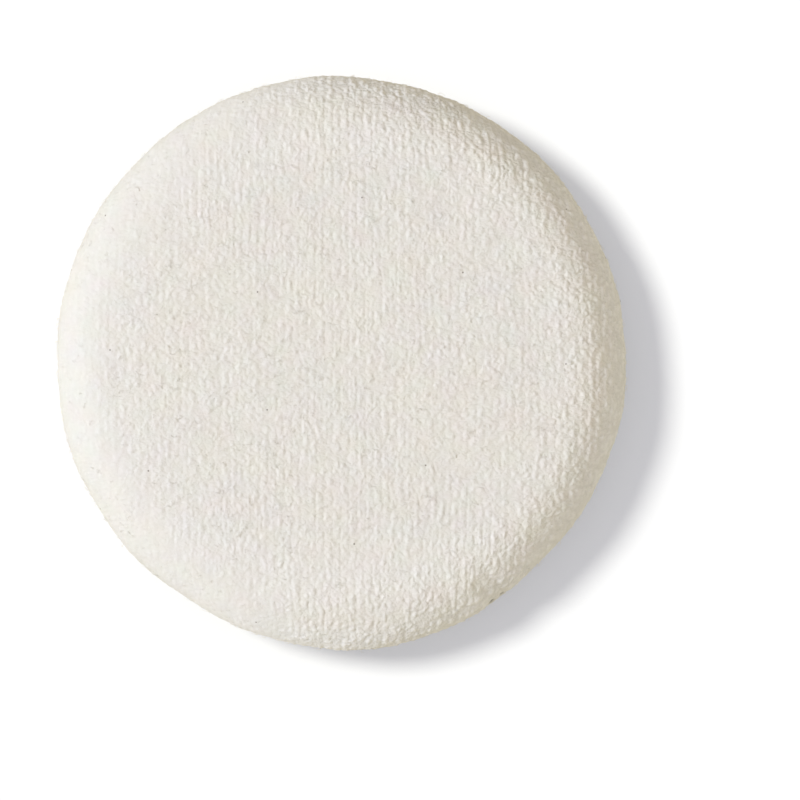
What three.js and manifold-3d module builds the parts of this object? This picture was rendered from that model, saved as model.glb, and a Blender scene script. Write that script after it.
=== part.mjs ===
// Round cosmetic powder puff: two discs of cotton velour sewn together around their edge, turned
// out through a gap in the seam, filled with a foam pad and closed by hand.
// Millimetres, +Z up. The puff lies on its back, and the origin is the middle of its resting face.
import * as THREE from "three";
import { mergeVertices } from "three/addons/utils/BufferGeometryUtils.js";
import Module from "manifold-3d";

const wasm = await Module();
wasm.setup();

// Driving dimensions of the finished puff
const PUFF_DIAMETER = 65; // across the fullest part of the edge
const FACE_HEIGHT = 6.8; // from the seam up to the middle of the powder face
const BACK_HEIGHT = 6.0; // from the resting face up to the seam
const FACE_CROWN = 0.7; // rise of the powder face from its shoulder to its middle
const SHOULDER_WIDTH = 6.5; // how far in from the outline the edge starts to roll over
const BULGE_HEIGHT = 1.1; // from the seam to the fullest part of each cover
const SEAM_DRAW_IN = 1.1; // how deep the stitching pulls the edge in between the two bulges

// Velour, turned-in edges and foam
const VELOUR_THICKNESS = 1.5; // knitted ground with its pile standing up
const PRESSED_THICKNESS = 0.8; // the same velour pressed flat in the seam
const SEAM_ALLOWANCE = 5.2; // width of the edge that is turned in behind the seam
const LAYER_GAP = 0.3; // air between two layers that touch in the real puff

// Sewing
const THREAD_DIAMETER = 0.3;
const KNOT_DIAMETER = 0.6;
const STITCH_LENGTH = 4.2; // the seam takes the nearest whole number of these
const TURNING_GAP = 26; // length of seam left open for turning and closed by hand
const TURNING_GAP_BEARING = -60; // degrees from +X to the middle of that gap
const THREAD_GAP = 0.2; // air around a thread in its hole and where it crosses another

// Facets
const ROUND_SEGMENTS = 44; // around the puff
const OUTSIDE_STEPS = 7; // along a rolled edge; crown and tuck take about a third as many
const INSIDE_STEPS = 4;
const HOLE_SIDES = 6;
const THREAD_SIDES = 4;
const KNOT_SEGMENTS = 8;

// Radii from the middle of the puff, and heights from the seam
const outerRadius = PUFF_DIAMETER / 2;
const shoulderRadius = outerRadius - SHOULDER_WIDTH;
const grooveRadius = outerRadius - SEAM_DRAW_IN;
const allowanceTip = grooveRadius - SEAM_ALLOWANCE;
const allowanceFace = LAYER_GAP / 2; // pile side of a turned-in edge
const allowanceBack = allowanceFace + PRESSED_THICKNESS; // wrong side of a turned-in edge

// The stitch line runs down the middle of the turned-in edges, clear of the wall behind it.
const stitchRadius = (grooveRadius - VELOUR_THICKNESS + allowanceTip) / 2;
const stitchCount = Math.round((2 * Math.PI * stitchRadius) / STITCH_LENGTH);
const stitchPitch = (2 * Math.PI * stitchRadius) / stitchCount;
const closingCount = Math.max(2, Math.round(TURNING_GAP / stitchPitch));
const machineCount = stitchCount - closingCount;

// Threads lie on the turned-in edges and bend into their holes.
const threadHeight = allowanceBack + THREAD_GAP + THREAD_DIAMETER / 2;
const knotHeight = allowanceBack + THREAD_GAP + KNOT_DIAMETER / 2;
const loopReach = THREAD_DIAMETER + THREAD_GAP; // from the middle of a loop to each of its legs
const bend = THREAD_DIAMETER; // size of the corner where a thread turns into its hole
const tailLength = (stitchPitch - 2 * loopReach - bend) / 4; // loose thread at each end
const lockHoleRadius = loopReach + THREAD_DIAMETER / 2 + THREAD_GAP;
const handHoleRadius = THREAD_DIAMETER / 2 + THREAD_GAP;

const VELOUR = { color: 0xe9e4d9, roughness: 0.95, metalness: 0 };
const FOAM = { color: 0xf3eedd, roughness: 0.9, metalness: 0 };
const THREAD = { color: 0xefeae0, roughness: 0.7, metalness: 0 };

function toSolid(geometry) {
  const bare = geometry.clone();
  bare.deleteAttribute("normal");
  bare.deleteAttribute("uv");
  const merged = mergeVertices(bare);
  return new wasm.Manifold(
    new wasm.Mesh({
      numProp: 3,
      vertProperties: merged.attributes.position.array,
      triVerts: new Uint32Array(merged.index.array),
    }),
  );
}

function toGeometry(solid) {
  const mesh = solid.getMesh();
  const geometry = new THREE.BufferGeometry();
  geometry.setAttribute("position", new THREE.BufferAttribute(mesh.vertProperties, 3));
  geometry.setIndex(new THREE.BufferAttribute(mesh.triVerts, 1));
  geometry.computeVertexNormals();
  return geometry;
}

// A closed section of (radius, height) points, counter-clockwise, turned about +Z.
function revolve(section) {
  return new THREE.LatheGeometry(section, ROUND_SEGMENTS).rotateX(Math.PI / 2);
}

// One side of the puff from its fullest part to its middle, at a depth below the outer surface:
// an edge that rolls over as a quarter ellipse, then a crown that falls away with the cube of the
// radius and carries on into the roll without a crease.
function faceCurve(height, crown, depth, steps) {
  const crownHeight = (radius) => height - depth - crown * (radius / shoulderRadius) ** 3;
  const roll = Array.from({ length: steps + 1 }, (_, i) => {
    const angle = ((Math.PI / 2) * i) / steps;
    const radius = shoulderRadius + (SHOULDER_WIDTH - depth) * Math.cos(angle);
    const rise = (crownHeight(radius) - BULGE_HEIGHT) * Math.sin(angle);
    return new THREE.Vector2(radius, BULGE_HEIGHT + rise);
  });
  const crownSteps = Math.ceil(steps / 3);
  const face = Array.from({ length: crownSteps }, (_, i) => {
    const radius = shoulderRadius * (1 - (i + 1) / crownSteps);
    return new THREE.Vector2(radius, crownHeight(radius));
  });
  return [...roll, ...face];
}

// From the turned-in edge out to the fullest part of a cover, as a quarter ellipse.
function tuckCurve(depth, floor, steps) {
  const tuckSteps = Math.ceil(steps / 3);
  return Array.from({ length: tuckSteps }, (_, i) => {
    const angle = ((Math.PI / 2) * i) / tuckSteps;
    const radius = grooveRadius - depth + SEAM_DRAW_IN * Math.sin(angle);
    return new THREE.Vector2(radius, BULGE_HEIGHT - (BULGE_HEIGHT - floor) * Math.cos(angle));
  });
}

// Half of a velour cover's section above the seam: inside, turned-in edge, outside.
function coverSection(height, crown) {
  const inside = [
    ...tuckCurve(VELOUR_THICKNESS, allowanceBack, INSIDE_STEPS),
    ...faceCurve(height, crown, VELOUR_THICKNESS, INSIDE_STEPS),
  ];
  const edge = [
    new THREE.Vector2(allowanceTip, allowanceBack),
    new THREE.Vector2(allowanceTip, allowanceFace),
  ];
  const outside = [
    ...tuckCurve(0, allowanceFace, OUTSIDE_STEPS),
    ...faceCurve(height, crown, 0, OUTSIDE_STEPS),
  ];
  return [...inside.reverse(), ...edge, ...outside];
}

// The same section, or part of one, on the other side of the seam.
function turnedOver(section) {
  return section.map((point) => new THREE.Vector2(point.x, -point.y)).reverse();
}

// A point of the seam: along the stitch line from the first stitch, out from it, and up.
const firstStitchAngle =
  THREE.MathUtils.degToRad(TURNING_GAP_BEARING) +
  ((closingCount + 1) / 2) * (stitchPitch / stitchRadius);

function seamPoint(along, out, up) {
  const angle = firstStitchAngle + along / stitchRadius;
  const radius = stitchRadius + out;
  return new THREE.Vector3(radius * Math.cos(angle), radius * Math.sin(angle), up);
}

// Where the needle holes lie along the seam: the machine's first, then those sewn by hand.
const holePlaces = Array.from({ length: stitchCount }, (_, i) => i * stitchPitch);
const machinePlaces = holePlaces.slice(0, machineCount);
const closingPlaces = holePlaces.slice(machineCount);

// A needle hole through both turned-in edges.
function needleHole(along, radius) {
  const depth = 2 * (allowanceBack + LAYER_GAP);
  const hole = new THREE.CylinderGeometry(radius, radius, depth, HOLE_SIDES);
  const place = seamPoint(along, 0, 0);
  return toSolid(hole.rotateX(Math.PI / 2).translate(place.x, place.y, place.z));
}

const needleHoles = [
  ...machinePlaces.map((along) => needleHole(along, lockHoleRadius)),
  ...closingPlaces.map((along) => needleHole(along, handHoleRadius)),
];

// A velour cover pierced by the stitching.
function coverGeometry(section) {
  const blank = toSolid(revolve(section));
  return toGeometry(needleHoles.reduce((cover, hole) => cover.subtract(hole), blank));
}

// The foam fills both covers. Its rim is nicked where the turned-in edges push into it.
function foamGeometry() {
  const depth = VELOUR_THICKNESS + LAYER_GAP;
  const front = faceCurve(FACE_HEIGHT, FACE_CROWN, depth, INSIDE_STEPS);
  const back = faceCurve(BACK_HEIGHT, 0, depth, INSIDE_STEPS);
  const blank = toSolid(revolve([...turnedOver(back), ...front]));
  const nickHeight = allowanceBack + THREAD_GAP + KNOT_DIAMETER + LAYER_GAP;
  const nickRadius = allowanceTip - LAYER_GAP;
  const nick = [
    new THREE.Vector2(nickRadius, -nickHeight),
    new THREE.Vector2(outerRadius, -nickHeight),
    new THREE.Vector2(outerRadius, nickHeight),
    new THREE.Vector2(nickRadius, nickHeight),
    new THREE.Vector2(nickRadius, -nickHeight),
  ];
  return toGeometry(blank.subtract(toSolid(revolve(nick))));
}

// A closed tube: a ring at each point of the path, square to the way it runs there and turned as
// little as possible from the ring before, with flat ends.
function threadTube(path) {
  const radius = THREAD_DIAMETER / 2;
  const last = path.length - 1;
  const positions = [];
  const index = [];
  const side = new THREE.Vector3(0, 0, 1);
  path.forEach((point, i) => {
    const run = path[Math.min(i + 1, last)].clone().sub(path[Math.max(i - 1, 0)]).normalize();
    side.addScaledVector(run, -side.dot(run)).normalize();
    const across = run.clone().cross(side);
    for (let k = 0; k < THREAD_SIDES; k += 1) {
      const angle = (2 * Math.PI * k) / THREAD_SIDES;
      const corner = point.clone();
      corner.addScaledVector(side, radius * Math.cos(angle));
      corner.addScaledVector(across, radius * Math.sin(angle));
      positions.push(corner.x, corner.y, corner.z);
    }
  });
  for (let i = 0; i < last; i += 1) {
    for (let k = 0; k < THREAD_SIDES; k += 1) {
      const here = i * THREAD_SIDES + k;
      const next = i * THREAD_SIDES + ((k + 1) % THREAD_SIDES);
      index.push(here, next, next + THREAD_SIDES);
      index.push(here, next + THREAD_SIDES, here + THREAD_SIDES);
    }
  }
  for (let k = 1; k < THREAD_SIDES - 1; k += 1) {
    const end = last * THREAD_SIDES;
    index.push(0, k + 1, k);
    index.push(end, end + k, end + k + 1);
  }
  const geometry = new THREE.BufferGeometry();
  geometry.setAttribute("position", new THREE.Float32BufferAttribute(positions, 3));
  geometry.setIndex(index);
  geometry.computeVertexNormals();
  return geometry;
}

// A lockstitch: in each hole the two threads hook round one another between the two covers, the
// needle thread's loop along the seam and the bobbin thread's loop across it.
const loopCorner = 0.6 * loopReach; // where a loop rounds its corner, out from the hole's middle
const loopEnd = loopReach / 2; // how far past the seam a loop reaches
const loopStart = 0.1 * loopReach; // where a leg starts to round the corner
const sway = 0.7 * loopReach; // how the bobbin thread swings round to the sides of a hole

function withTails(stitches, height) {
  const reach = 2 * loopReach + tailLength;
  const start = seamPoint(machinePlaces[0] - reach, 0, height);
  const end = seamPoint(machinePlaces[machineCount - 1] + reach, 0, height);
  return [start, ...stitches, end];
}

// The needle thread runs over the front cover's turned-in edge and dips into each hole.
function needlePath() {
  const stitches = machinePlaces.flatMap((along) => [
    seamPoint(along - loopReach - bend, 0, threadHeight),
    seamPoint(along - loopReach, 0, threadHeight - bend),
    seamPoint(along - loopReach, 0, loopStart),
    seamPoint(along - loopCorner, 0, -loopEnd),
    seamPoint(along + loopCorner, 0, -loopEnd),
    seamPoint(along + loopReach, 0, loopStart),
    seamPoint(along + loopReach, 0, threadHeight - bend),
    seamPoint(along + loopReach + bend, 0, threadHeight),
  ]);
  return withTails(stitches, threadHeight);
}

// The bobbin thread runs under the back cover's turned-in edge and rises into each hole.
function bobbinPath() {
  const low = -threadHeight;
  const stitches = machinePlaces.flatMap((along) => [
    seamPoint(along - 2 * loopReach, 0, low),
    seamPoint(along - sway, sway, low + bend / 3),
    seamPoint(along, loopReach, low + 1.5 * bend),
    seamPoint(along, loopReach, -loopStart),
    seamPoint(along, loopCorner, loopEnd),
    seamPoint(along, -loopCorner, loopEnd),
    seamPoint(along, -loopReach, -loopStart),
    seamPoint(along, -loopReach, low + 1.5 * bend),
    seamPoint(along + sway, -sway, low + bend / 3),
    seamPoint(along + 2 * loopReach, 0, low),
  ]);
  return withTails(stitches, low);
}

// The hand stitches that close the turning gap: one thread, over and under by turns, with a knot
// at each end.
function closingGeometry() {
  const stitches = closingPlaces.flatMap((along, i) => {
    const side = i % 2 === 0 ? 1 : -1;
    return [
      seamPoint(along - bend, 0, side * threadHeight),
      seamPoint(along, 0, side * (threadHeight - bend)),
      seamPoint(along, 0, -side * (threadHeight - bend)),
      seamPoint(along + bend, 0, -side * threadHeight),
    ];
  });
  const lastSide = closingCount % 2 === 0 ? 1 : -1;
  const reach = bend + tailLength;
  const start = seamPoint(closingPlaces[0] - reach, 0, knotHeight);
  const end = seamPoint(closingPlaces[closingCount - 1] + reach, 0, lastSide * knotHeight);
  const knots = [start, end].map((place) => {
    const ball = new THREE.SphereGeometry(KNOT_DIAMETER / 2, KNOT_SEGMENTS, KNOT_SEGMENTS / 2);
    return toSolid(ball.translate(place.x, place.y, place.z));
  });
  const sewn = toSolid(threadTube([start, ...stitches, end]));
  return toGeometry(knots.reduce((stitched, knot) => stitched.add(knot), sewn));
}

// The puff is built about its seam, which lies BACK_HEIGHT above the resting face.
const atSeam = new THREE.Group();
atSeam.position.z = BACK_HEIGHT;

function addPiece(name, geometry, look) {
  const mesh = new THREE.Mesh(geometry, new THREE.MeshStandardMaterial(look));
  mesh.name = name;
  atSeam.add(mesh);
}

addPiece("front_velour_cover", coverGeometry(coverSection(FACE_HEIGHT, FACE_CROWN)), VELOUR);
addPiece("back_velour_cover", coverGeometry(turnedOver(coverSection(BACK_HEIGHT, 0))), VELOUR);
addPiece("foam_pad", foamGeometry(), FOAM);
addPiece("seam_needle_thread", threadTube(needlePath()), THREAD);
addPiece("seam_bobbin_thread", threadTube(bobbinPath()), THREAD);
addPiece("closing_thread", closingGeometry(), THREAD);

const puff = new THREE.Group();
puff.add(atSeam);

export default puff;
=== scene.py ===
"""A round powder puff of cream cotton velour, lying face up on a white table.

Two velour covers are turned in and sewn together at the edge over a foam pad. Lengths are in
millimetres and heights are measured from the seam, until put_mesh turns them into metres above the
resting face.
"""

import math

import bpy
import numpy as np
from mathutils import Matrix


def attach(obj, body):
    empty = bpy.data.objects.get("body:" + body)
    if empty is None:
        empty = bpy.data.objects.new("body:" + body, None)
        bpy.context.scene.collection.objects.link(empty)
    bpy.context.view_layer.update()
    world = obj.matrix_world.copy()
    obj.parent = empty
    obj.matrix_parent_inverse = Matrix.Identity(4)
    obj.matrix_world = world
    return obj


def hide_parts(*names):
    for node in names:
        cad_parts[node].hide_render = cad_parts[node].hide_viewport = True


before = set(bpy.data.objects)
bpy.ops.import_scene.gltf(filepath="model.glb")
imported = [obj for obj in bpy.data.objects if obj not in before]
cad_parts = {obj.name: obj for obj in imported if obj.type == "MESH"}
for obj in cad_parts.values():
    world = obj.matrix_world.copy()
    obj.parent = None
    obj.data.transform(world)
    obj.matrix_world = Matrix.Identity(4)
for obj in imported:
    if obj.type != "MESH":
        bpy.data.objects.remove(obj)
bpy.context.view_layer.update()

# The finished puff
OUTER_RADIUS = 32.5
FACE_HEIGHT = 6.8
BACK_HEIGHT = 6.0
FACE_CROWN = 0.7
SHOULDER_WIDTH = 6.5
ROLL_POWER = 2.4
BULGE_HEIGHT = 1.1
SEAM_DRAW_IN = 1.1
VELOUR_THICKNESS = 1.5
PRESSED_THICKNESS = 0.8
SEAM_ALLOWANCE = 5.2
LAYER_GAP = 0.3
PILE_GAP = 0.08
STITCHES = 42
STITCH_DIMPLE = 0.12
DIMPLE_REACH = 1.3
FOAM_UNEVEN = 0.045
NICK_HEIGHT = 2.05
NICK_GAP = 0.3
CELL_SIZE = 0.9
CELL_DEPTH = 0.06

SHOULDER_RADIUS = OUTER_RADIUS - SHOULDER_WIDTH
GROOVE_RADIUS = OUTER_RADIUS - SEAM_DRAW_IN
ALLOWANCE_TIP = GROOVE_RADIUS - SEAM_ALLOWANCE

# How the sewn edge strays from a circle: waves around it, bearing of one crest in degrees
EDGE_WAVES = [
    # waves, height, bearing
    (2, 0.12, -70),
    (3, 0.10, 28),
    (4, 0.08, 12),
    (5, 0.07, -11),
    (6, 0.07, -21),
    (14, 0.06, -8),
]

# Hand stitches that draw the front's edge in at the closed turning gap, so that the back shows
CLOSING_DENTS = [
    # bearing and half width in degrees, depth
    (-58.0, 1.3, 0.42),
    (-55.3, 1.0, 0.34),
]
BACK_SHOWS = 0.25
SEAM_GAPE = 0.6
GAPE_NARROWS = 0.5
GAPE_SHADE = 3.0

# The knitted pile: one tuft to each loop, in upright ribs
RIB_PITCH = 0.9
LOOP_PITCH = 0.75
RIB_RELIEF = 0.108
CURL_RELIEF = 0.087
PILE_TOP = 0.16

# How use has changed the pile, as shares, and how far from the seam it is pressed flat
OPENED_LOFT = 0.38
BRUSHED_FLAT = 0.42
EDGE_CALM = 0.2
# painted shade in the pits over the roll, then painted sheen over the edge and the shoulder
EDGE_PIT_SHADE = 0.14
EDGE_SHEEN = 0.6
SHOULDER_SHEEN = 0.13
PRESSED_FLAT = 0.8
PRESSED_REACH = 1.5

# Loose fibres: least and most length, turn in radians and rise, then radii and depth of the root
FIBRES = 2600
FIBRE_LENGTHS = (0.4, 1.1)
FIBRE_CURLS = (0.6, 4.5)
FIBRE_RISES = (0.12, 0.3)
FIBRE_RADIUS = 0.012
SNAG_RADIUS = 0.024
FIBRE_ROOT = 0.12

# Mesh
PILE_STEP = 0.15
ALLOWANCE_RINGS = 8
LINING_RINGS = 14
FOAM_STEP = 1.0
FOAM_SEGMENTS = 160
FIBRE_STEPS = 7

# Random draws each way before a pattern repeats
DRAWS = 128

# Cloth simulation of the sewn bag, drawn larger because the solver is made for garments
BAG_RINGS = 36
BAG_SCALE = 0.02
BAG_FRAMES = 20
FULLNESS = 0.08
FOAM_HOLD = 0.1
PUCKER_LIMIT = 0.2


def turned_section(height, crown, depth, floor):
    """Radius and height of one side of a cover, from its middle to the tip of its turned-in edge.

    The crown falls away with the cube of the radius. The edge rolls over as height (1 - u^p)^(1/2),
    where u is the share of the shoulder's width and p is a little more than an ellipse's 2. A small
    quarter ellipse tucks in below it to the seam, from where the edge runs straight back. Depth is
    measured in from the pile side, and floor is how far the turned-in edge is from the seam.
    """
    face = np.linspace(0, SHOULDER_RADIUS, 120)
    turn = np.linspace(np.pi / 2, 0, 200)[1:]
    roll = SHOULDER_RADIUS + (SHOULDER_WIDTH - depth) * np.cos(turn)
    tuck = GROOVE_RADIUS - depth + SEAM_DRAW_IN * np.sin(turn)
    edge = np.linspace(GROOVE_RADIUS - depth, ALLOWANCE_TIP, 40)[1:]
    radius = np.concatenate([face, roll, tuck, edge])

    crown_height = height - depth - crown * (radius / SHOULDER_RADIUS) ** 3
    face_height = crown_height[: face.size]
    rise = crown_height[face.size : face.size + roll.size] - BULGE_HEIGHT
    roll_height = BULGE_HEIGHT + rise * np.sqrt(1 - np.cos(turn) ** ROLL_POWER)
    tuck_height = BULGE_HEIGHT - (BULGE_HEIGHT - floor) * np.cos(turn)
    edge_height = np.full(edge.size, floor)
    return radius, np.concatenate([face_height, roll_height, tuck_height, edge_height])


def path_lengths(radius, height):
    """Distance along a section from its first point to each of its points."""
    return np.concatenate([[0], np.cumsum(np.hypot(np.diff(radius), np.diff(height)))])


def concentric_grid(rings):
    """Ring number and angle of each point of a square grid that is drawn out into a round disc.

    Point (column, row) lies on ring max(|column|, |row|), and each quarter of a square ring is
    spread evenly over a quarter turn, so that every face of the disc has four sides.
    """
    steps = np.arange(-rings, rings + 1)
    column, row = np.meshgrid(steps, steps)
    ring = np.maximum(abs(column), abs(row))
    upright = abs(row) > abs(column)
    longer = np.where(upright, row, column)
    shorter = np.where(upright, -column, row)
    share = shorter / np.where(longer == 0, 1, longer)
    base = np.where(upright, np.pi / 2, 0) + np.where(longer < 0, np.pi, 0)
    return ring, base + share * np.pi / 4


def grid_faces(rings):
    """Four corners of each face of a concentric grid, counter-clockwise from above."""
    number = np.arange((2 * rings + 1) ** 2).reshape(2 * rings + 1, -1)
    corners = number[:-1, :-1], number[:-1, 1:], number[1:, 1:], number[1:, :-1]
    return np.stack([c.ravel() for c in corners], axis=1)


def grid_rim(rings):
    """Point numbers around a concentric grid's outermost ring, counter-clockwise from above."""
    number = np.arange((2 * rings + 1) ** 2).reshape(2 * rings + 1, -1)
    sides = number[0, :-1], number[:-1, -1], number[-1, :0:-1], number[:0:-1, 0]
    return np.concatenate(sides)


def ease(share):
    """A smooth step from 0 to 1 as the share goes from 0 to 1."""
    share = np.clip(share, 0, 1)
    return share**2 * (3 - 2 * share)


def drift(x, y, seed, size):
    """Smooth random values from -1 to 1 over the cloth, one drawn for each size (across, along)."""
    chance = np.random.default_rng(seed).uniform(-1, 1, (DRAWS, DRAWS))
    column, across = np.divmod(x / size[0], 1)
    row, along = np.divmod(y / size[1], 1)
    column, row = column.astype(int), row.astype(int)
    across, along = ease(across), ease(along)
    near, far = (
        chance[(row + step) % DRAWS, column % DRAWS] * (1 - across)
        + chance[(row + step) % DRAWS, (column + 1) % DRAWS] * across
        for step in (0, 1)
    )
    return near * (1 - along) + far * along


def tufts(x, y, seed, pitch, loop, lean, long, wide, least):
    """Height from 0 to 1 of tufts of pile that stand in ribs along y, over the flat-cut cloth.

    Each tuft is a long dome h (1 - (a / length)^2 - (b / width)^2)^1.2. It is set off its place and
    leans at random, and the highest dome at a point is what shows.
    """
    chance = np.random.default_rng(seed).random((7, DRAWS, DRAWS))
    column = np.floor(x / pitch).astype(int)
    best = np.zeros_like(x)
    for aside in (-1, 0, 1):
        rib = column + aside
        start = chance[6, 0, rib % DRAWS]
        row = np.floor(y / loop - start).astype(int)
        for ahead in (-2, -1, 0, 1, 2):
            place = row + ahead
            off, on, turn, length, width, height = chance[:6, place % DRAWS, rib % DRAWS]
            dx = x - pitch * (rib + 0.25 + 0.5 * off)
            dy = y - loop * (place + start + on)
            angle = np.radians(lean) * (2 * turn - 1)
            a = dy * np.cos(angle) + dx * np.sin(angle)
            b = dx * np.cos(angle) - dy * np.sin(angle)
            length = loop * (long[0] + (long[1] - long[0]) * length)
            width = pitch * (wide[0] + (wide[1] - wide[0]) * width)
            dome = np.maximum(1 - (a / length) ** 2 - (b / width) ** 2, 0) ** 1.2
            best = np.maximum(best, (least + (1 - least) * height) * dome)
    return best


def pile_height(across, along, seed):
    """Height of the velour's pile in millimetres over the flat-cut cloth.

    Ribs of long tufts wander a little, small curls of loose pile stand between them in patches, and
    both ride on a slow swell of the knitted ground.
    """
    aside = 0.2 * drift(across, along, seed, (2.2, 3.0))
    aside += 0.05 * drift(across, along, seed + 1, (0.9, 1.4))
    ahead = 0.25 * drift(across, along, seed + 2, (1.6, 1.6))
    x, y = across + aside, along + ahead
    ribs = tufts(x, y, seed + 3, RIB_PITCH, LOOP_PITCH, 12, (0.45, 1.0), (0.42, 0.55), 0.05)
    curls = tufts(x, y, seed + 4, 0.46, 0.42, 45, (0.55, 0.85), (0.55, 0.75), 0.1)
    loose = 0.25 + drift(across, along, seed + 5, (1.3, 1.8))
    loose += 0.4 * drift(across, along, seed + 6, (0.6, 0.8))
    loose = np.clip(loose, 0, 1)
    swell = 0.02 * drift(x, y, seed + 7, (0.9, 1.3)) + 0.02 * drift(x, y, seed + 8, (1.9, 2.6))
    rib_height = RIB_RELIEF * ribs * (1 - 0.35 * loose)
    curl_height = CURL_RELIEF * curls * (0.35 + 0.9 * loose)
    return rib_height + curl_height + swell


def brushed_flat(distance, across):
    """How far the last brushing laid the pile flat: over the left, down to the upright side."""
    past = distance - SHOULDER_RADIUS
    return ease(-across / 14) * (1 - ease((past - 7) / 2.5))


def pile_loft(distance, brushed):
    """How far the pile stands up, as a share of what it does in the middle of the face.

    The shoulder opens it except where it is brushed flat, and handling flattens it a little around
    the outermost edge.
    """
    past = distance - SHOULDER_RADIUS
    loft = 1 + OPENED_LOFT * (1 - brushed) * ease((past + 3) / 5)
    loft -= BRUSHED_FLAT * brushed * ease((past + 3) / 8)
    return loft * (1 - EDGE_CALM * ease((past - 5.5) / 2.5))


def painted_edge_sheen_and_shade(distance, across, brushed, nap):
    """How far painted sheen makes the pile pale near the edge, and painted shade darkens its pits.

    The sheen lies along the shoulder and over the roll, there less and less towards the lit left.
    The shade lies between the tufts over the roll, less so where the pile is brushed flat.
    """
    past = distance - SHOULDER_RADIUS
    shoulder = ease((past + 5) / 4) - ease(past / 3)
    roll = ease((past - 3) / 4)
    painted_sheen = SHOULDER_SHEEN * shoulder + EDGE_SHEEN * roll * (1 - ease(-across / OUTER_RADIUS))
    pit_shade = EDGE_PIT_SHADE * roll * (1 - 0.6 * brushed) * ease(1 - nap / 0.12)
    return painted_sheen, pit_shade


def put_mesh(name, points, faces, material, attributes):
    """A piece from points in millimetres about the seam, lists of faces and point attributes."""
    mesh = bpy.data.meshes.new(name)
    corners = np.concatenate([f.ravel() for f in faces])
    sizes = np.concatenate([np.full(len(f), f.shape[1]) for f in faces])
    mesh.vertices.add(len(points))
    mesh.loops.add(len(corners))
    mesh.polygons.add(len(sizes))
    metres = (points + [0, 0, BACK_HEIGHT]) * 0.001
    mesh.vertices.foreach_set("co", metres.astype(np.float32).ravel())
    mesh.loops.foreach_set("vertex_index", corners.astype(np.int32))
    mesh.polygons.foreach_set("loop_start", (np.cumsum(sizes) - sizes).astype(np.int32))
    mesh.polygons.foreach_set("use_smooth", np.ones(len(sizes), dtype=bool))
    for label, values in attributes.items():
        kind, field = ("FLOAT", "value") if values.ndim == 1 else ("FLOAT_VECTOR", "vector")
        layer = mesh.attributes.new(label, kind, "POINT")
        layer.data.foreach_set(field, values.astype(np.float32).ravel())
    mesh.update(calc_edges=True)
    mesh.validate()
    mesh.materials.append(material)
    piece = bpy.data.objects.new(name, mesh)
    bpy.context.scene.collection.objects.link(piece)
    return piece


def bands(rows):
    """Four corners of the faces between rows of points that run round counter-clockwise."""
    here, there = rows[:-1], rows[1:]
    ahead_here, ahead_there = np.roll(here, -1, axis=1), np.roll(there, -1, axis=1)
    return np.stack([ahead_here, here, there, ahead_there], axis=-1).reshape(-1, 4)


def visible_length(height, crown):
    """Distance along a cover from its middle to the seam."""
    return path_lengths(*turned_section(height, crown, 0, PILE_GAP / 2))[-1] - SEAM_ALLOWANCE


def pile_side(height, crown, distance):
    """Radius, height and outward normal (out, up) of a cover at distances along the cloth."""
    radius, level = turned_section(height, crown, 0, PILE_GAP / 2)
    length = path_lengths(radius, level)
    out, up = -np.gradient(level, length), np.gradient(radius, length)
    return [np.interp(distance, length, values) for values in (radius, level, out, up)]


def closing_dents(angle):
    """Depth of the dents at the closed gap, each a bell curve around the edge."""
    depth = 0
    for bearing, width, most in CLOSING_DENTS:
        off = (np.degrees(angle) - bearing + 180) % 360 - 180
        depth += most * np.exp(-((off / width) ** 2))
    return depth


def edge_shift(radius, angle, side):
    """How far the edge lies outside its circle: waves all round, and dents at the closed gap.

    Each wave is h cos(n (angle - bearing)). Waves and dents grow smoothly from the shoulder to the
    fullest part of the edge. The front is dented, and the back shows a little beside it.
    """
    shift = sum(h * np.cos(n * (angle - np.radians(bearing))) for n, h, bearing in EDGE_WAVES)
    shift += closing_dents(angle) * (-1 if side > 0 else BACK_SHOWS)
    return shift * ease((radius - SHOULDER_RADIUS) / SHOULDER_WIDTH)


def spline_weights(fine, coarse, scale):
    """Cubic B-spline weights that spread values at -coarse to coarse over -fine to fine."""
    place = np.clip(np.arange(-fine, fine + 1) * scale, -coarse, coarse)
    gap = abs(place[:, None] - np.arange(-coarse, coarse + 1))
    weights = np.where(
        gap < 1, (4 - 6 * gap**2 + 3 * gap**3) / 6, np.clip(2 - gap, 0, None) ** 3 / 6)
    return weights / weights.sum(axis=1, keepdims=True)


def relaxed_cloth(points, faces, rest, seam):
    """Where points of a closed bag go when its cloth relaxes towards its rest shape, all in metres.

    Pins hold the seam fast and everything else weakly, as foam does, and a little pressure keeps
    the bag full.
    """
    scene = bpy.context.scene
    mesh = bpy.data.meshes.new("bag")
    mesh.from_pydata(points, [], faces)
    bag = bpy.data.objects.new("bag", mesh)
    scene.collection.objects.link(bag)
    bag.shape_key_add(name="sewn")
    rest_shape = bag.shape_key_add(name="rest")
    rest_shape.data.foreach_set("co", rest.ravel())
    hold = bag.vertex_groups.new(name="hold")
    hold.add(np.arange(len(points)).tolist(), FOAM_HOLD, "REPLACE")
    hold.add(seam.tolist(), 1.0, "REPLACE")
    cloth = bag.modifiers.new("cloth", "CLOTH").settings
    cloth.quality = 8
    cloth.mass = 0.3
    cloth.tension_stiffness = 15
    cloth.compression_stiffness = 15
    cloth.shear_stiffness = 5
    cloth.bending_stiffness = 0.5
    cloth.use_pressure = True
    cloth.uniform_pressure_force = 2
    cloth.vertex_group_mass = hold.name
    cloth.rest_shape_key = rest_shape
    cloth.effector_weights.gravity = 0
    for step in range(1, BAG_FRAMES + 1):
        scene.frame_set(step)
    relaxed = np.empty(points.size, dtype=np.float32)
    shown = bag.evaluated_get(bpy.context.evaluated_depsgraph_get())
    shown.data.vertices.foreach_get("co", relaxed)
    bpy.data.objects.remove(bag)
    scene.frame_set(1)
    return relaxed.reshape(-1, 3)


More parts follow.
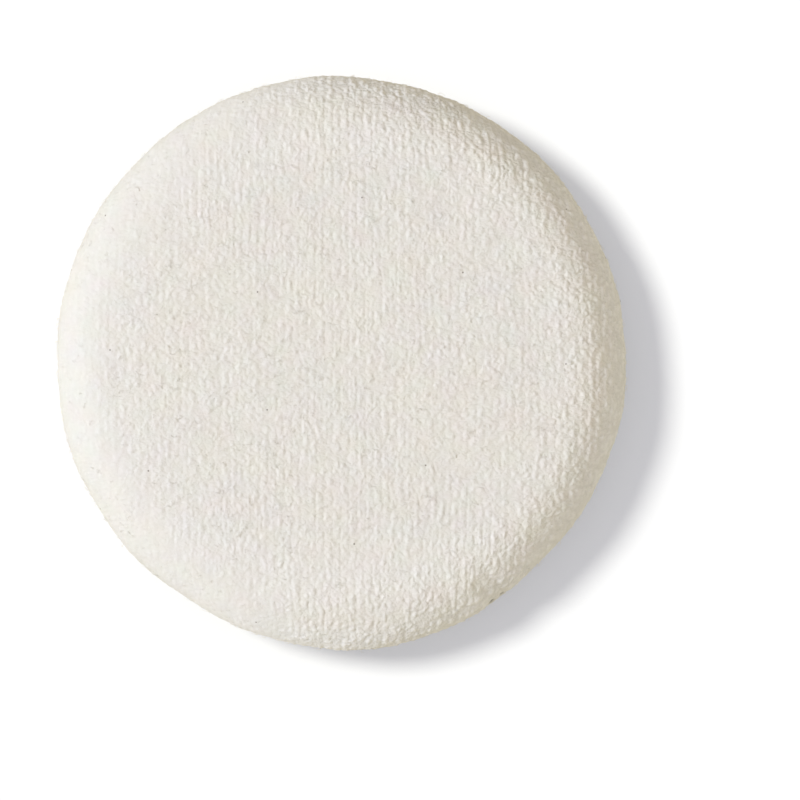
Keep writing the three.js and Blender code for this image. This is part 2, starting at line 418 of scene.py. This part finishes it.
def seam_puckers():
    """How far each cover swells or sinks where the seam gathers it, as two coarse concentric grids.

    The covers are cut as flat discs, so the rolled edge has more cloth than it needs. The knit
    takes up most of that, and the rest buckles in a simulated bag of both covers. The moves are
    along the surface's normal, less their mean around each ring, which the turned section already
    has. They fade out towards the shoulder, where the foam fills the cover tightly.
    """
    ring, angle = concentric_grid(BAG_RINGS)
    seam = ring == BAG_RINGS
    around = np.stack([np.cos(angle), np.sin(angle)], axis=-1)
    sewn, flat, normals = [], [], []
    for height, crown, side in ((FACE_HEIGHT, FACE_CROWN, 1), (BACK_HEIGHT, 0, -1)):
        distance = visible_length(height, crown) * ring / BAG_RINGS
        radius, level, out, up = pile_side(height, crown, distance)
        sewn.append(np.dstack([radius[..., None] * around, side * level]))
        flat.append(np.dstack([distance[..., None] * around, 0 * level]))
        normals.append(np.dstack([out[..., None] * around, side * up]))
    kept = ~seam
    number = np.arange(ring.size).reshape(ring.shape)
    below = np.where(seam, number, ring.size + np.cumsum(kept).reshape(ring.shape) - 1)
    start = np.concatenate([sewn[0].reshape(-1, 3), sewn[1][kept]])
    cut = np.concatenate([flat[0].reshape(-1, 3), flat[1][kept]])
    upper = grid_faces(BAG_RINGS)
    faces = np.concatenate([upper, below.ravel()[upper][:, ::-1]])
    uneven = start + np.random.default_rng(5).normal(0, 0.03, start.shape)
    rest = start + FULLNESS * (cut - start)
    relaxed = relaxed_cloth(
        uneven * BAG_SCALE, faces, (rest * BAG_SCALE).astype(np.float32), number[seam]) / BAG_SCALE
    moved = relaxed - start
    shoulder = SHOULDER_RADIUS / visible_length(FACE_HEIGHT, FACE_CROWN)
    fade = np.clip((ring / BAG_RINGS - shoulder) / (1 - shoulder), 0, 1) ** 5
    puckers = []
    for numbers, normal in zip((number, below), normals):
        swell = (moved[numbers] * normal).sum(axis=-1)
        mean = np.bincount(ring.ravel(), swell.ravel()) / np.bincount(ring.ravel())
        puckers.append(fade * np.clip(swell - mean[ring], -PUCKER_LIMIT, PUCKER_LIMIT))
    return puckers


def velour_cover(name, height, crown, side, seed, pucker, material):
    """A velour cover: pile side on a concentric grid, wrong side in plain rings, joined at the tip.

    A point of the pile side is the turned section at its distance along the cloth, swept round to
    its angle. Along the section's normal it is raised by its pucker and the uneven foam, and sunk
    by what its tuft lacks of full height, at the stitches of the seam and where the seam gapes.
    """
    visible = visible_length(height, crown)
    pile_rings = round(visible / PILE_STEP)
    rings = pile_rings + ALLOWANCE_RINGS
    distance = np.concatenate([
        np.linspace(0, visible, pile_rings + 1),
        np.linspace(visible, visible + SEAM_ALLOWANCE, ALLOWANCE_RINGS + 1)[1:],
    ])
    ring_radius, ring_level, ring_out, ring_up = pile_side(height, crown, distance)

    ring, angle = concentric_grid(rings)
    cut = distance[ring]
    across, along = cut * np.cos(angle), cut * np.sin(angle)
    brushed = brushed_flat(cut, across) * (side > 0)
    loft = pile_loft(cut, brushed)
    nap = pile_height(across, along, seed) * loft
    pressed = np.clip((distance - visible + PRESSED_REACH) / PRESSED_REACH, 0, 1)[ring]
    weights = spline_weights(rings, BAG_RINGS, BAG_RINGS / pile_rings)
    near_seam = np.exp(-(((distance - visible) / DIMPLE_REACH) ** 2))[ring]
    dimple = STITCH_DIMPLE * near_seam * (0.5 + 0.5 * np.cos(STITCHES * angle))
    gape = np.clip(closing_dents(angle) - GAPE_NARROWS * ring_level[ring], 0, None)
    # painted sheen pales the shoulder and the shaded edge; painted shade darkens the pits of the
    # pile over the roll and the gaping seam
    painted_sheen, pit_shade = painted_edge_sheen_and_shade(cut, across, brushed, nap)
    painted_shade = np.clip(GAPE_SHADE * gape + pit_shade, 0, 1)
    raised = weights @ pucker @ weights.T
    raised = raised + (nap - PILE_TOP * loft) * (1 - PRESSED_FLAT * pressed)
    raised += FOAM_UNEVEN * drift(across, along, seed + 9, (6.0, 7.0))
    raised -= dimple + SEAM_GAPE * gape
    r = ring_radius[ring] + raised * ring_out[ring]
    r += edge_shift(ring_radius[ring], angle, side)
    z = ring_level[ring] + raised * ring_up[ring]
    pile = np.stack([r * np.cos(angle), r * np.sin(angle), z], axis=-1).reshape(-1, 3)

    floor = LAYER_GAP / 2 + PRESSED_THICKNESS
    inner_radius, inner_level = turned_section(height, crown, VELOUR_THICKNESS, floor)
    inner_length = path_lengths(inner_radius, inner_level)
    steps = np.linspace(inner_length[-1], 0, LINING_RINGS + 1)[:-1]
    rim = grid_rim(rings)
    rim_angle = angle.ravel()[rim]
    lining_r = np.interp(steps, inner_length, inner_radius)[:, None]
    lining_r = lining_r + edge_shift(lining_r, rim_angle, side)
    lining_z = np.interp(steps, inner_length, inner_level)[:, None]
    lining = np.stack(np.broadcast_arrays(
        lining_r * np.cos(rim_angle), lining_r * np.sin(rim_angle), lining_z), axis=-1)
    middle = np.array([[0, 0, inner_level[0]]])
    points = np.concatenate([pile, lining.reshape(-1, 3), middle])

    first = len(pile)
    rows = np.vstack([rim, first + np.arange(LINING_RINGS * rim.size).reshape(LINING_RINGS, -1)])
    last = rows[-1]
    fan = np.stack([np.roll(last, -1), last, np.full(last.size, len(points) - 1)], axis=1)
    faces = [np.concatenate([grid_faces(rings), bands(rows)]), fan]
    if side < 0:
        points[:, 2] *= -1
        faces = [f[:, ::-1] for f in faces]

    hidden = len(points) - first
    cloth = np.stack([across, along, np.zeros_like(across)], axis=-1).reshape(-1, 3)
    attributes = {
        "nap": np.concatenate([nap.ravel(), np.zeros(hidden)]),
        "loft": np.concatenate([loft.ravel(), np.zeros(hidden)]),
        "painted_sheen": np.concatenate([painted_sheen.ravel(), np.zeros(hidden)]),
        "painted_shade": np.concatenate([painted_shade.ravel(), np.zeros(hidden)]),
        "cut": np.concatenate([cloth, np.zeros((hidden, 3))]),
    }
    return put_mesh(name, points, faces, material, attributes)


def stray_fibres(material):
    """Loose cotton fibres that lie over the pile, each a thin three-sided tube along a curl.

    A fibre starts in the pile of a cover and runs in a flat arc over it, rising and sinking as part
    of a sine. Most are single fibres and a few are as thick as a snagged yarn. Half lie on the face
    and half around the edge, on the back only where it is clear of the table.
    """
    chance = np.random.default_rng(47)
    half = FIBRES // 2
    reach = visible_length(FACE_HEIGHT, FACE_CROWN)
    over_face = np.sqrt(chance.random(half)) * SHOULDER_RADIUS
    round_edge = chance.uniform(SHOULDER_RADIUS + 3, reach - 0.4, FIBRES - half)
    distance = np.concatenate([over_face, round_edge])
    side = np.where(np.arange(FIBRES) % 2 == 0, 1, -1)
    side[:half] = 1
    angle = chance.uniform(0, 2 * np.pi, FIBRES)
    face = pile_side(FACE_HEIGHT, FACE_CROWN, distance)
    rear = pile_side(BACK_HEIGHT, 0, distance)
    radius, level, out, up = np.where(side > 0, face, rear)
    shift = np.where(side > 0, edge_shift(radius, angle, 1), edge_shift(radius, angle, -1))
    flat = np.zeros(FIBRES)
    outward = np.stack([np.cos(angle), np.sin(angle), flat], axis=-1)
    sideways = np.stack([-np.sin(angle), np.cos(angle), flat], axis=-1)
    upward = np.stack([flat, flat, side], axis=-1)
    normal = out[:, None] * outward + up[:, None] * upward
    downhill = up[:, None] * outward - out[:, None] * upward
    root = (radius + shift)[:, None] * outward + level[:, None] * upward - FIBRE_ROOT * normal

    heading = chance.uniform(0, 2 * np.pi, FIBRES)[:, None]
    ahead = np.cos(heading) * downhill + np.sin(heading) * sideways
    across = np.cos(heading) * sideways - np.sin(heading) * downhill
    length = chance.uniform(*FIBRE_LENGTHS, FIBRES)[:, None]
    curl = chance.uniform(*FIBRE_CURLS, FIBRES)[:, None] * chance.choice([-1, 1], FIBRES)[:, None]
    rise = chance.uniform(*FIBRE_RISES, FIBRES)[:, None]
    arch = chance.uniform(0.5, 1, FIBRES)[:, None] * np.pi
    step = np.linspace(0, 1, FIBRE_STEPS + 1)
    path = (
        root[:, None]
        + (length * np.sin(curl * step) / curl)[..., None] * ahead[:, None]
        + (length * (1 - np.cos(curl * step)) / curl)[..., None] * across[:, None]
        + (rise * np.sin(arch * step))[..., None] * normal[:, None]
    )
    along = np.gradient(path, axis=1)
    along /= np.linalg.norm(along, axis=-1, keepdims=True)
    first = np.cross(along, normal[:, None] + 0.3 * ahead[:, None])
    first /= np.linalg.norm(first, axis=-1, keepdims=True)
    second = np.cross(along, first)
    thick = FIBRE_RADIUS + SNAG_RADIUS * chance.random(FIBRES) ** 4
    thick = thick[:, None] * (1 - 0.5 * step)
    turn = 2 * np.pi * np.arange(3) / 3
    ring = np.cos(turn)[:, None] * first[:, :, None] + np.sin(turn)[:, None] * second[:, :, None]
    points = path[:, :, None] + thick[:, :, None, None] * ring

    number = np.arange(FIBRES * (FIBRE_STEPS + 1) * 3).reshape(FIBRES, FIBRE_STEPS + 1, 3)
    here, there = number[:, :-1], number[:, 1:]
    corners = here, np.roll(here, -1, axis=2), np.roll(there, -1, axis=2), there
    walls = np.stack(corners, axis=-1).reshape(-1, 4)
    ends = np.concatenate([number[:, 0, ::-1], number[:, -1]])
    cloth = np.stack([distance * np.cos(angle), distance * np.sin(angle), flat], axis=-1)
    cut = np.repeat(cloth, (FIBRE_STEPS + 1) * 3, axis=0)
    attributes = {"nap": np.full(number.size, 0.1), "cut": cut}
    return put_mesh("stray_fibres", points.reshape(-1, 3), [walls, ends], material, attributes)


def foam_filling(material):
    """The foam pad: its section turned about the middle, with the surface sunk at its open cells.

    Each face follows its cover at the cover's thickness, and a square nick around the rim makes
    room for the turned-in edges and their stitches.
    """
    sides = []
    for height, crown in ((FACE_HEIGHT, FACE_CROWN), (BACK_HEIGHT, 0)):
        radius, level = turned_section(height, crown, VELOUR_THICKNESS + LAYER_GAP, 0)
        clear = level >= NICK_HEIGHT
        sides.append((radius[clear], level[clear]))
    (front_radius, front_level), (back_radius, back_level) = sides
    nick_radius = ALLOWANCE_TIP - NICK_GAP
    radius = np.concatenate([front_radius, [nick_radius, nick_radius], back_radius[::-1]])
    level = np.concatenate([front_level, [NICK_HEIGHT, -NICK_HEIGHT], -back_level[::-1]])
    length = path_lengths(radius, level)
    distance = np.linspace(0, length[-1], round(length[-1] / FOAM_STEP) + 1)
    ring_radius = np.interp(distance, length, radius)[1:-1, None]
    ring_level = np.interp(distance, length, level)[1:-1, None]
    out = -np.gradient(ring_level, axis=0)
    up = np.gradient(ring_radius, axis=0)
    reach = np.hypot(out, up)

    angle = np.linspace(0, 2 * np.pi, FOAM_SEGMENTS, endpoint=False)
    spread = np.broadcast_to(distance[1:-1, None], (distance.size - 2, FOAM_SEGMENTS))
    across, along = ring_radius * np.cos(angle), ring_radius * np.sin(angle) + spread
    cells = drift(across, along, 31, (CELL_SIZE, CELL_SIZE))
    sunk = CELL_DEPTH * (cells - 1)
    r = ring_radius + sunk * out / reach
    z = ring_level + sunk * up / reach
    turned = np.stack([r * np.cos(angle), r * np.sin(angle), z], axis=-1).reshape(-1, 3)
    poles = np.array([[0, 0, level[0]], [0, 0, level[-1]]])
    points = np.concatenate([turned, poles])

    rows = np.arange(len(turned)).reshape(-1, FOAM_SEGMENTS)
    top, low = rows[0], rows[-1]
    top_pole = np.full(FOAM_SEGMENTS, len(turned))
    low_pole = top_pole + 1
    fans = np.concatenate([
        np.stack([top_pole, top, np.roll(top, -1)], axis=1),
        np.stack([np.roll(low, -1), low, low_pole], axis=1),
    ])
    return put_mesh("foam_filling", points, [bands(rows), fans], material, {})


def linear(colour):
    """An sRGB hex colour as linear RGBA."""
    channels = [int(colour[i : i + 2], 16) / 255 for i in (1, 3, 5)]
    return [c / 12.92 if c <= 0.04045 else ((c + 0.055) / 1.055) ** 2.4 for c in channels] + [1]


def add(tree, kind, links=None, values=None, **settings):
    """Adds a node with its settings, its constant inputs and the outputs linked to its inputs."""
    node = tree.nodes.new(kind)
    for key, value in settings.items():
        setattr(node, key, value)
    for key, value in (values or {}).items():
        node.inputs[key].default_value = value
    for key, output in (links or {}).items():
        tree.links.new(output, node.inputs[key])
    return node


def new_material(name):
    """An empty node material and its tree."""
    material = bpy.data.materials.new(name)
    material.use_nodes = True
    material.node_tree.nodes.clear()
    return material, material.node_tree


def cotton_velour():
    """Sheared cotton velour: matt, with painted shade warmer in its hollows, and painted sheen pale
    at its edge.
    """
    material, tree = new_material("cotton_velour")
    nap = add(tree, "ShaderNodeAttribute", attribute_name="nap").outputs["Fac"]
    loft = add(tree, "ShaderNodeAttribute", attribute_name="loft").outputs["Fac"]
    painted_sheen = add(tree, "ShaderNodeAttribute", attribute_name="painted_sheen").outputs["Fac"]
    painted_shade = add(tree, "ShaderNodeAttribute", attribute_name="painted_shade").outputs["Fac"]
    cut = add(tree, "ShaderNodeAttribute", attribute_name="cut").outputs["Vector"]
    # painted shade: darker and warmer where the pile is low, between the tufts, lighter on their
    # tops
    shade = add(tree, "ShaderNodeMapRange", {"Value": nap}, {"From Min": -0.02, "From Max": 0.09})
    colour = add(tree, "ShaderNodeMix", {"Factor": shade.outputs["Result"]}, data_type="RGBA")
    colour.inputs["A"].default_value = linear("#E2DED5")
    colour.inputs["B"].default_value = linear("#E7E3DC")
    # faint tints about 2.5 mm across, because raw cotton is never dyed quite evenly
    tints = add(
        tree, "ShaderNodeTexNoise", {"Vector": cut},
        {"Scale": 0.4, "Detail": 1.0, "Roughness": 0.5})
    tinted = add(
        tree, "ShaderNodeMix", {"A": colour.outputs["Result"], "B": tints.outputs["Color"]},
        {"Factor": 0.026}, data_type="RGBA", blend_type="LINEAR_LIGHT")
    # warmer in slow drifts about 12 mm across, turned half round by the minus, and with painted
    # warm shade where the shoulder opens the pile
    drifts = add(
        tree, "ShaderNodeTexNoise", {"Vector": cut},
        {"Scale": -0.08, "Detail": 1.0, "Roughness": 0.5})
    warm_drifts = add(
        tree, "ShaderNodeMapRange", {"Value": drifts.outputs["Fac"]},
        {"From Min": 0.35, "From Max": 0.65, "To Max": 0.2})
    painted_warm_shade = add(
        tree, "ShaderNodeMapRange", {"Value": loft},
        {"From Min": 1.0, "From Max": 1 + OPENED_LOFT, "To Max": 0.15})
    tone_and_shade_warmth = add(
        tree, "ShaderNodeMath",
        {0: warm_drifts.outputs["Result"], 1: painted_warm_shade.outputs["Result"]}, operation="ADD")
    tone_and_shade_warmed = add(
        tree, "ShaderNodeMix", {"Factor": tone_and_shade_warmth.outputs["Value"], "A": tinted.outputs["Result"]},
        data_type="RGBA")
    tone_and_shade_warmed.inputs["B"].default_value = linear("#E9E1D0")
    # painted sheen pale around the shoulder and the shaded edge; painted shade darker in the pits
    # where the edge opens the pile and where the seam gapes
    paler = add(
        tree, "ShaderNodeMix", {"Factor": painted_sheen, "A": tone_and_shade_warmed.outputs["Result"]}, data_type="RGBA")
    paler.inputs["B"].default_value = linear("#F5F3F0")
    with_painted_shade = add(
        tree, "ShaderNodeMix", {"Factor": painted_shade, "A": paler.outputs["Result"]}, data_type="RGBA")
    with_painted_shade.inputs["B"].default_value = linear("#7C7765")
    # specks of cotton seed 0.2 mm across, one to each patch of cloth
    patch = 16
    patches = add(
        tree, "ShaderNodeTexVoronoi", {"Vector": cut}, {"Scale": 1 / patch},
        voronoi_dimensions="2D")
    seed = add(
        tree, "ShaderNodeMapRange", {"Value": patches.outputs["Distance"]},
        {"From Min": 0.05 / patch, "From Max": 0.12 / patch, "To Min": 0.85, "To Max": 0.0})
    specked = add(
        tree, "ShaderNodeMix", {"Factor": seed.outputs["Result"], "A": with_painted_shade.outputs["Result"]},
        data_type="RGBA")
    specked.inputs["B"].default_value = linear("#6B6052")
    # knots of pile about 0.45 mm apart and fibres about 0.3 mm apart
    spaced = add(tree, "ShaderNodeMapping", {"Vector": cut}, {"Scale": (2.1, 2.5, 1)})
    knots = add(tree, "ShaderNodeTexVoronoi", {"Vector": spaced.outputs["Vector"]}, {"Scale": 1.0})
    stretched = add(tree, "ShaderNodeMapping", {"Vector": cut}, {"Scale": (3.2, 4.2, 1)})
    fibres = add(
        tree, "ShaderNodeTexNoise", {"Vector": stretched.outputs["Vector"]},
        {"Scale": 1.0, "Detail": 2.0, "Roughness": 0.6, "Distortion": 0.8})
    fluff = add(
        tree, "ShaderNodeMath", {0: knots.outputs["Distance"], 2: fibres.outputs["Fac"]}, {1: -0.8},
        operation="MULTIPLY_ADD")
    bump = add(
        tree, "ShaderNodeBump", {"Height": fluff.outputs["Value"], "Strength": loft},
        {"Distance": 0.00007})
    shader = add(
        tree, "ShaderNodeBsdfPrincipled",
        {"Base Color": specked.outputs["Result"], "Normal": bump.outputs["Normal"]},
        {"Roughness": 0.9, "Specular IOR Level": 0.2, "Sheen Weight": 0.15, "Sheen Roughness": 0.5})
    add(tree, "ShaderNodeOutputMaterial", {"Surface": shader.outputs["BSDF"]})
    return material


def open_cell_foam():
    """Open-cell polyurethane foam: matt and pale yellow, with painted shade in the openings of its
    cells.
    """
    material, tree = new_material("open_cell_foam")
    place = add(tree, "ShaderNodeTexCoord").outputs["Object"]
    # cells about 0.6 mm across
    cells = add(tree, "ShaderNodeTexVoronoi", {"Vector": place}, {"Scale": 1700.0})
    shade = add(
        tree, "ShaderNodeMapRange", {"Value": cells.outputs["Distance"]},
        {"From Min": 0.1, "From Max": 0.6})
    colour = add(tree, "ShaderNodeMix", {"Factor": shade.outputs["Result"]}, data_type="RGBA")
    colour.inputs["A"].default_value = linear("#CFC7AE")
    colour.inputs["B"].default_value = linear("#F3EEDD")
    bump = add(
        tree, "ShaderNodeBump", {"Height": cells.outputs["Distance"]},
        {"Strength": 0.8, "Distance": 0.0002})
    shader = add(
        tree, "ShaderNodeBsdfPrincipled",
        {"Base Color": colour.outputs["Result"], "Normal": bump.outputs["Normal"]},
        {"Roughness": 0.9, "Specular IOR Level": 0.25})
    add(tree, "ShaderNodeOutputMaterial", {"Surface": shader.outputs["BSDF"]})
    return material


def spun_thread():
    """Spun polyester sewing thread: matt cream with a slight shine, plies that wind round it,
    painted shade between them.
    """
    material, tree = new_material("spun_polyester_thread")
    place = add(tree, "ShaderNodeTexCoord").outputs["Object"]
    axes = add(tree, "ShaderNodeSeparateXYZ", {0: place}).outputs
    bearing = add(tree, "ShaderNodeMath", {0: axes["Y"], 1: axes["X"]}, operation="ARCTAN2")
    # plies 0.35 mm apart along a seam of 28 mm radius, slanted by as much over the thread's height
    along = add(tree, "ShaderNodeMath", {0: bearing.outputs[0]}, {1: 503.0}, operation="MULTIPLY")
    slant = add(
        tree, "ShaderNodeMath", {0: axes["Z"], 2: along.outputs[0]}, {1: 18000.0},
        operation="MULTIPLY_ADD")
    plies = add(tree, "ShaderNodeMath", {0: slant.outputs[0]}, operation="SINE")
    shade = add(tree, "ShaderNodeMapRange", {"Value": plies.outputs[0]}, {"From Min": -1.0})
    colour = add(tree, "ShaderNodeMix", {"Factor": shade.outputs["Result"]}, data_type="RGBA")
    colour.inputs["A"].default_value = linear("#D8D1C2")
    colour.inputs["B"].default_value = linear("#F1ECE2")
    bump = add(
        tree, "ShaderNodeBump", {"Height": plies.outputs[0]},
        {"Strength": 0.6, "Distance": 0.00004})
    shader = add(
        tree, "ShaderNodeBsdfPrincipled",
        {"Base Color": colour.outputs["Result"], "Normal": bump.outputs["Normal"]},
        {"Roughness": 0.65, "Specular IOR Level": 0.35, "Sheen Weight": 0.1})
    add(tree, "ShaderNodeOutputMaterial", {"Surface": shader.outputs["BSDF"]})
    return material


def seen_directly(tree):
    """1 for rays that show a thing to the eye, straight or by mirror or glass, and 0 for others."""
    path = add(tree, "ShaderNodeLightPath").outputs
    either = add(
        tree, "ShaderNodeMath", {0: path["Is Camera Ray"], 1: path["Is Glossy Ray"]},
        operation="MAXIMUM")
    seen = add(
        tree, "ShaderNodeMath", {0: either.outputs[0], 1: path["Is Transmission Ray"]},
        operation="MAXIMUM")
    return seen.outputs[0]


def table_white():
    """Matt white laminate: white to the eye with a soft grey shadow, and a warm bounce."""
    material, tree = new_material("matt_white_laminate")
    seen = seen_directly(tree)
    colour = add(tree, "ShaderNodeMix", {"Factor": seen}, data_type="RGBA")
    colour.inputs["A"].default_value = linear("#BFBCAE")
    colour.inputs["B"].default_value = linear("#B4B9C7")
    board = add(tree, "ShaderNodeBsdfDiffuse", {"Color": colour.outputs["Result"]})
    gleam = add(tree, "ShaderNodeEmission", {"Strength": seen}, {"Color": linear("#939395")})
    both = add(tree, "ShaderNodeAddShader", {0: board.outputs[0], 1: gleam.outputs[0]})
    add(tree, "ShaderNodeOutputMaterial", {"Surface": both.outputs[0]})
    return material


velour = cotton_velour()
front_pucker, back_pucker = seam_puckers()
front = velour_cover("front_velour", FACE_HEIGHT, FACE_CROWN, 1, 11, front_pucker, velour)
back = velour_cover("back_velour", BACK_HEIGHT, 0, -1, 23, back_pucker, velour)
foam = foam_filling(open_cell_foam())
for piece, node, slot in (
    (front, "front_velour_cover", "velour"),
    (back, "back_velour_cover", "velour"),
    (foam, "foam_pad", "foam"),
):
    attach(piece, "root")
    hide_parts(node)

fibres = stray_fibres(velour)
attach(fibres, "root")

thread = spun_thread()
for node in ("seam_needle_thread", "seam_bobbin_thread", "closing_thread"):
    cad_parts[node].material_slots[0].material = thread

# The table, in metres
TABLE_HALF = 1.5
corners = [(TABLE_HALF * x, TABLE_HALF * y, 0) for x, y in ((-1, -1), (1, -1), (1, 1), (-1, 1))]
table_mesh = bpy.data.meshes.new("table")
table_mesh.from_pydata(corners, [], [(0, 1, 2, 3)])
table_mesh.materials.append(table_white())
table = bpy.data.objects.new("table", table_mesh)
bpy.context.scene.collection.objects.link(table)

# Light
scene = bpy.context.scene
scene.view_settings.view_transform = "Standard"
world = bpy.data.worlds.new("soft_room")
scene.world = world
world.use_nodes = True
room = world.node_tree
room.nodes.clear()
# bright overhead and dark at the horizon, and plain white where it is seen directly
direction = add(room, "ShaderNodeTexCoord").outputs["Generated"]
upward = add(room, "ShaderNodeSeparateXYZ", {0: direction}).outputs["Z"]
level = add(room, "ShaderNodeMath", {0: upward}, {1: 0.0}, operation="MAXIMUM")
overhead = add(
    room, "ShaderNodeBackground", {"Strength": level.outputs[0]}, {"Color": (0.94, 0.875, 0.79, 1)})
white = add(room, "ShaderNodeBackground", values={"Color": (1, 1, 1, 1)})
both = add(
    room, "ShaderNodeMixShader",
    {0: seen_directly(room), 1: overhead.outputs[0], 2: white.outputs[0]})
add(room, "ShaderNodeOutputWorld", {"Surface": both.outputs[0]})


def sun(name, bearing, elevation, level, colour, spread, lit):
    """A distant lamp at a bearing from +X and an elevation in degrees, as wide as spread.

    Level is the share of full light that it gives a level surface, and lit are the objects that it
    shines on.
    """
    lamp = bpy.data.lights.new(name, "SUN")
    lamp.energy = level * math.pi / math.sin(math.radians(elevation))
    lamp.color = colour
    lamp.angle = math.radians(spread)
    holder = bpy.data.objects.new(name, lamp)
    holder.rotation_euler = (0, math.radians(90 - elevation), math.radians(bearing))
    scene.collection.objects.link(holder)
    receivers = bpy.data.collections.new(name + "_lights")
    for piece in lit:
        receivers.objects.link(piece)
    holder.light_linking.receiver_collection = receivers


puff = [front, back, foam, fibres]
sun("window", 179, 33, 0.4, (0.905, 1.0, 1.175), 20, puff)
sun("reflector", -30, 8, 0.0235, (0.92, 1.0, 1.0), 40, puff)
sun("ceiling", 157, 53, 1.01, (1, 0.945, 0.755), 16, [table])

# Camera straight above, so placed that the puff falls on the photograph's column and row of pixels
PICTURE_SIZE = 800
PUFF_COLUMN = 341.2
PUFF_ROW = 361.5
PIXEL = 0.11368
SENSOR = 36
CAMERA_HEIGHT = 600
camera = bpy.data.objects.new("camera", bpy.data.cameras.new("camera"))
camera.data.sensor_width = SENSOR
camera.data.lens = SENSOR * CAMERA_HEIGHT / (PICTURE_SIZE * PIXEL)
camera.data.clip_end = 10
camera_x = (PICTURE_SIZE / 2 - PUFF_COLUMN) * PIXEL
camera_y = (PUFF_ROW - PICTURE_SIZE / 2) * PIXEL
camera_z = CAMERA_HEIGHT + BACK_HEIGHT + BULGE_HEIGHT
camera.location = np.array([camera_x, camera_y, camera_z]) * 0.001
scene.collection.objects.link(camera)
scene.camera = camera
